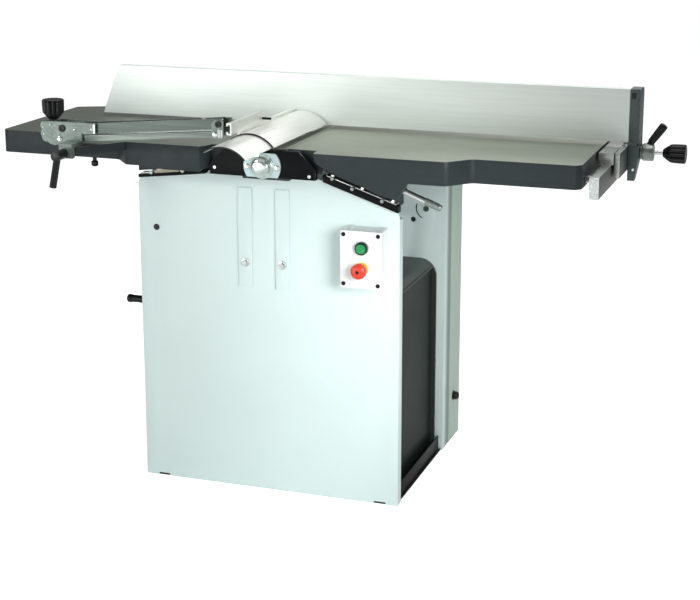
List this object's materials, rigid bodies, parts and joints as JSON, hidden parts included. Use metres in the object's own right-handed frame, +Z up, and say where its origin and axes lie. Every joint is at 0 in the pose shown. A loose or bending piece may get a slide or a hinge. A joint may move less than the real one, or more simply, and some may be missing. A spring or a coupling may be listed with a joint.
{
  "type": "thickness planer",
  "caption": "Combined surface planer and thicknesser: tilting cast tables over a cutter block, tall fence, bridge guard, sheet-metal cabinet and a crank-raised thickness table.",
  "frame": {"origin": "on the floor at the centre of the cabinet's base", "axes": "+X along the tables towards the infeed end, +Y from the operator's side to the back, +Z up"},
  "size_m": [1.635, 0.814, 1.003],
  "materials": {
    "panel_white": "smooth white powder coat",
    "cover_beige": "smooth grey-green powder coat",
    "hood_dark": "dark semi-gloss paint",
    "black_steel": "black satin paint",
    "table_iron": "painted casting with a planed top",
    "housing_iron": "plain casting",
    "steel_bright": "bright machined",
    "alu_satin": "satin anodised",
    "bracket_grey": "grey enamel",
    "motor_grey": "grey enamel",
    "belt_rubber": "matt",
    "box_plastic": "light grey moulded",
    "green_plastic": "gloss",
    "red_plastic": "gloss",
    "black_plastic": "moulded, fine texture"
  },
  "bodies": {
    "cabinet": {"front_side_panel": "panel_white", "rear_side_panel": "panel_white", "base_pan": "black_steel", "lower_hood": "hood_dark", "drive_cover": "cover_beige", "cutterhead_cover": "black_steel", "front_bearing_housing": "housing_iron", "rear_bearing_housing": "housing_iron", "bearing_cap": "alu_satin", "accessory_rail_left": "panel_white", "accessory_rail_right": "panel_white", "control_box_base": "box_plastic", "control_box_lid": "box_plastic", "motor": "motor_grey", "drive_belt": "belt_rubber", "lift_sleeve": "housing_iron", "infeed_hinge_shaft": "steel_bright", "outfeed_hinge_shaft": "steel_bright", "finger_rod": "steel_bright", "cable_inlet": "black_plastic"},
    "cutter": {"cutter_block": "steel_bright", "cutter_knife_1": "steel_bright", "cutter_knife_2": "steel_bright", "cutter_knife_3": "steel_bright", "cutter_pulley": "housing_iron"},
    "motor_rotor": {"motor_pulley": "housing_iron"},
    "toothed_roller": {"toothed_feed_roller": "steel_bright"},
    "smooth_roller": {"smooth_feed_roller": "steel_bright"},
    "fingers": {"anti_kickback_fingers": "steel_bright"},
    "lift": {"thickness_table": "table_iron", "lift_column": "steel_bright"},
    "screw": {"lift_screw": "steel_bright"},
    "crank": {"height_crank": "black_steel", "crank_grip": "black_plastic"},
    "start": {"start_button": "green_plastic"},
    "stop": {"stop_button": "red_plastic"},
    "infeed_carrier": {"infeed_slideway": "black_steel"},
    "infeed": {"infeed_table": "table_iron", "infeed_lip": "steel_bright", "infeed_gib": "steel_bright", "fence_guide_bar": "steel_bright"},
    "depth": {"depth_lever": "steel_bright"},
    "carriage": {"fence_carriage": "steel_bright"},
    "fence": {"fence_plate": "alu_satin", "fence_end_bracket": "bracket_grey"},
    "fence_lock": {"fence_lock_lever": "steel_bright"},
    "fence_knob": {"fence_clamp_knob": "black_plastic"},
    "outfeed": {"outfeed_slideway": "black_steel", "outfeed_table": "table_iron", "outfeed_lip": "steel_bright", "outfeed_gib": "steel_bright", "guard_bracket": "alu_satin"},
    "guard_knob": {"guard_height_knob": "black_plastic"},
    "guard_clamp": {"guard_clamp_lever": "black_plastic"},
    "guard_lower": {"guard_arm_lower": "steel_bright"},
    "guard_upper": {"guard_arm_upper": "steel_bright"},
    "guard_head": {"guard_head": "alu_satin"},
    "guard_outer": {"guard_outer": "alu_satin"},
    "guard_inner": {"guard_inner": "alu_satin"}
  },
  "joints": [
    {"name": "cutter_spin", "type": "hinge", "parent": "cabinet", "child": "cutter", "pos_m": [0.018, 0, 0.83], "axis": [0, 1, 0], "continuous": true},
    {"name": "motor_spin", "type": "hinge", "parent": "cabinet", "child": "motor_rotor", "pos_m": [0.19, 0, 0.15], "axis": [0, 1, 0], "continuous": true},
    {"name": "toothed_roller_spin", "type": "hinge", "parent": "cabinet", "child": "toothed_roller", "pos_m": [-0.054, 0, 0.8085], "axis": [0, 1, 0], "continuous": true},
    {"name": "smooth_roller_spin", "type": "hinge", "parent": "cabinet", "child": "smooth_roller", "pos_m": [0.09, 0, 0.8085], "axis": [0, 1, 0], "continuous": true},
    {"name": "finger_swing", "type": "hinge", "parent": "cabinet", "child": "fingers", "pos_m": [-0.094, 0, 0.826], "axis": [0, -1, 0], "range_deg": [0, 25]},
    {"name": "thickness_slide", "type": "slide", "parent": "cabinet", "child": "lift", "axis": [0, 0, 1], "range_m": [-0.138, 0.076]},
    {"name": "screw_turn", "type": "hinge", "parent": "cabinet", "child": "screw", "pos_m": [0, 0, 0.25], "axis": [0, 0, 1], "range_deg": [-1010, 580]},
    {"name": "crank_turn", "type": "hinge", "parent": "cabinet", "child": "crank", "pos_m": [-0.3, -0.048, 0.441], "axis": [1, 0, 0], "range_deg": [-1010, 580]},
    {"name": "start_press", "type": "slide", "parent": "cabinet", "child": "start", "axis": [0, 1, 0], "range_m": [0, 0.004], "stiffness_N_per_m": 400, "springref_m": -0.001},
    {"name": "stop_press", "type": "slide", "parent": "cabinet", "child": "stop", "axis": [0, 1, 0], "range_m": [0, 0.005], "stiffness_N_per_m": 400, "springref_m": -0.001},
    {"name": "infeed_tilt", "type": "hinge", "parent": "cabinet", "child": "infeed_carrier", "pos_m": [0.235, 0.232, 0.848], "axis": [-1, 0, 0], "range_deg": [0, 88]},
    {"name": "infeed_slide", "type": "slide", "parent": "infeed_carrier", "child": "infeed", "axis": [0.9483, 0, -0.3173], "range_m": [0, 0.012]},
    {"name": "depth_lever_turn", "type": "hinge", "parent": "infeed", "child": "depth", "pos_m": [0.35, -0.255, 0.798], "axis": [0, 1, 0], "range_deg": [0, 30]},
    {"name": "fence_slide", "type": "slide", "parent": "infeed", "child": "carriage", "axis": [0, 1, 0], "range_m": [-0.155, 0.06]},
    {"name": "fence_tilt", "type": "hinge", "parent": "carriage", "child": "fence", "pos_m": [0.815, 0.07, 0.872], "axis": [-1, 0, 0], "range_deg": [0, 45]},
    {"name": "fence_lock_turn", "type": "hinge", "parent": "carriage", "child": "fence_lock", "pos_m": [0.85, 0.102, 0.85], "axis": [1, 0, 0], "range_deg": [-50, 50]},
    {"name": "fence_knob_turn", "type": "hinge", "parent": "carriage", "child": "fence_knob", "pos_m": [0.9, 0.102, 0.85], "axis": [1, 0, 0], "continuous": true},
    {"name": "outfeed_tilt", "type": "hinge", "parent": "cabinet", "child": "outfeed", "pos_m": [-0.235, 0.232, 0.848], "axis": [-1, 0, 0], "range_deg": [0, 88]},
    {"name": "guard_arm_lift", "type": "hinge", "parent": "outfeed", "child": "guard_lower", "pos_m": [-0.477, -0.331, 0.878], "axis": [0, -1, 0], "range_deg": [-1, 10]},
    {"name": "guard_upper_swing", "type": "hinge", "parent": "outfeed", "child": "guard_upper", "pos_m": [-0.469, -0.331, 0.902], "axis": [0, -1, 0], "range_deg": [-1, 10]},
    {"name": "guard_head_level", "type": "hinge", "parent": "guard_lower", "child": "guard_head", "pos_m": [-0.06, -0.331, 0.9145], "axis": [0, -1, 0], "range_deg": [-10, 1]},
    {"name": "guard_knob_turn", "type": "hinge", "parent": "outfeed", "child": "guard_knob", "pos_m": [-0.484, -0.331, 0.93], "axis": [0, 0, 1], "range_deg": [-61, 601]},
    {"name": "guard_clamp_turn", "type": "hinge", "parent": "outfeed", "child": "guard_clamp", "pos_m": [-0.424, -0.42, 0.857], "axis": [0, 1, 0], "range_deg": [-45, 45]},
    {"name": "guard_slide", "type": "slide", "parent": "guard_head", "child": "guard_outer", "axis": [0, 1, 0], "range_m": [-0.155, 0.06]},
    {"name": "guard_extension", "type": "slide", "parent": "guard_outer", "child": "guard_inner", "axis": [0, 1, 0], "range_m": [0, 0.2]}
  ],
  "couplings": [
    {"joint": "motor_spin", "follows": "cutter_spin", "ratio": 0.65385},
    {"joint": "smooth_roller_spin", "follows": "toothed_roller_spin", "ratio": 1},
    {"joint": "screw_turn", "follows": "thickness_slide", "rad_per_m": 125.66},
    {"joint": "crank_turn", "follows": "thickness_slide", "rad_per_m": 125.66},
    {"joint": "outfeed_tilt", "follows": "infeed_tilt", "ratio": 1},
    {"joint": "depth_lever_turn", "follows": "infeed_slide", "rad_per_m": 43.6},
    {"joint": "guard_upper_swing", "follows": "guard_arm_lift", "ratio": 1},
    {"joint": "guard_head_level", "follows": "guard_arm_lift", "ratio": -1},
    {"joint": "guard_knob_turn", "follows": "guard_arm_lift", "ratio": 60},
    {"joint": "guard_slide", "follows": "fence_slide", "ratio": 1}
  ]
}
